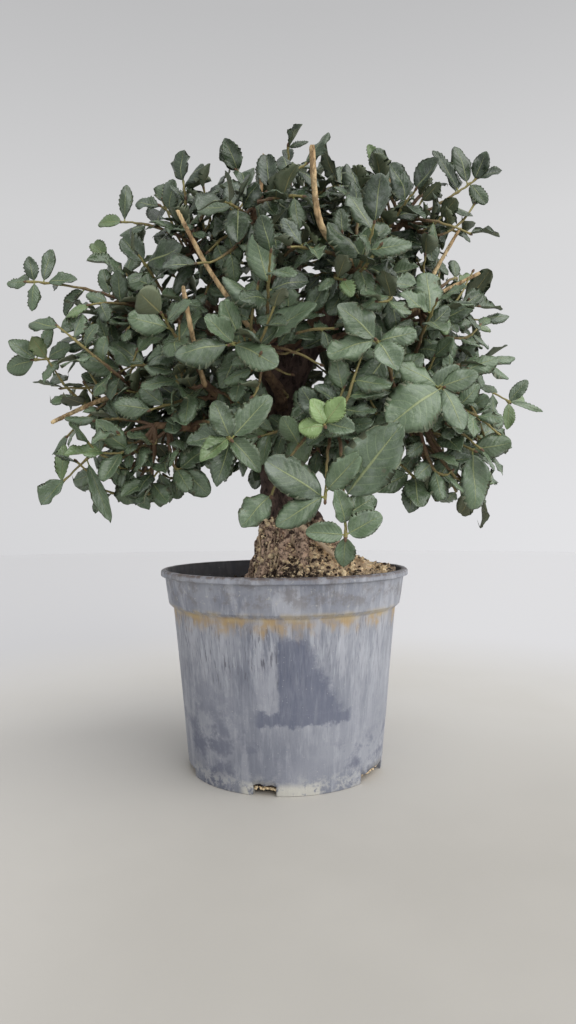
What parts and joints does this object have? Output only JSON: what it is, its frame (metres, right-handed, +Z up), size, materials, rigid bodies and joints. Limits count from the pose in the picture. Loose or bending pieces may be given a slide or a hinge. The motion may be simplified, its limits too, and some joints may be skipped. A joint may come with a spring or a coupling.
{
  "type": "cork oak bonsai",
  "caption": "Small broadleaf tree with a fluted trunk, pruned branches and toothed leaves, standing in soil in a round tapered nursery pot.",
  "frame": {"origin": "middle of the pot's foot, on the surface that the pot stands on", "axes": "+Z up along the pot's axis, -Y towards the front of the tree, +X to the right seen from the front"},
  "size_m": [0.3541, 0.2464, 0.41],
  "materials": {
    "pot_plastic": "weathered grey-blue plastic with chalky streaks",
    "soil": "dark crumbly potting soil with pale specks",
    "bark": "dark brown bark, ochre on young shoots",
    "leaf": "dark green leathery leaf with a dusty bloom"
  },
  "bodies": {
    "root": {"pot": "pot_plastic", "soil": "soil", "trunk_and_branches": "bark", "shoot_crown_01": "leaf", "shoot_crown_02": "leaf", "shoot_crown_03": "leaf", "shoot_crown_05": "leaf", "shoot_crown_06": "leaf", "shoot_crown_07": "leaf", "shoot_crown_08": "leaf", "shoot_crown_09": "leaf", "shoot_crown_10": "leaf", "shoot_crown_11": "leaf", "shoot_crown_12": "leaf", "shoot_crown_13": "leaf", "shoot_crown_14": "leaf", "shoot_crown_15": "leaf", "shoot_crown_16": "leaf", "shoot_crown_17": "leaf", "shoot_crown_18": "leaf", "shoot_crown_19": "leaf", "shoot_crown_20": "leaf", "shoot_crown_22": "leaf", "shoot_crown_24": "leaf", "shoot_crown_25": "leaf", "shoot_crown_26": "leaf", "shoot_crown_27": "leaf", "shoot_crown_29": "leaf", "shoot_crown_30": "leaf", "shoot_crown_32": "leaf", "shoot_crown_33": "leaf", "shoot_crown_34": "leaf", "shoot_crown_35": "leaf", "shoot_crown_37": "leaf", "shoot_crown_38": "leaf", "shoot_front_left_star": "leaf", "shoot_front_low_left": "leaf", "shoot_front_low_middle": "leaf", "shoot_front_low_right": "leaf", "shoot_front_middle": "leaf", "shoot_front_middle_right": "leaf", "shoot_front_right_big": "leaf", "shoot_left_crown_edge": "leaf", "shoot_left_hanging": "leaf", "shoot_left_long": "leaf", "shoot_left_lowest_end": "leaf", "shoot_left_middle": "leaf", "shoot_left_shoulder": "leaf", "shoot_left_under": "leaf", "shoot_left_upper": "leaf", "shoot_right_crest": "leaf", "shoot_right_end": "leaf", "shoot_right_hanging": "leaf", "shoot_right_narrow": "leaf", "shoot_right_outer_low": "leaf", "shoot_right_under": "leaf", "shoot_top_left": "leaf", "shoot_top_right": "leaf", "shoot_top_spire": "leaf", "shoot_young_leaves": "leaf"}
  },
  "joints": []
}
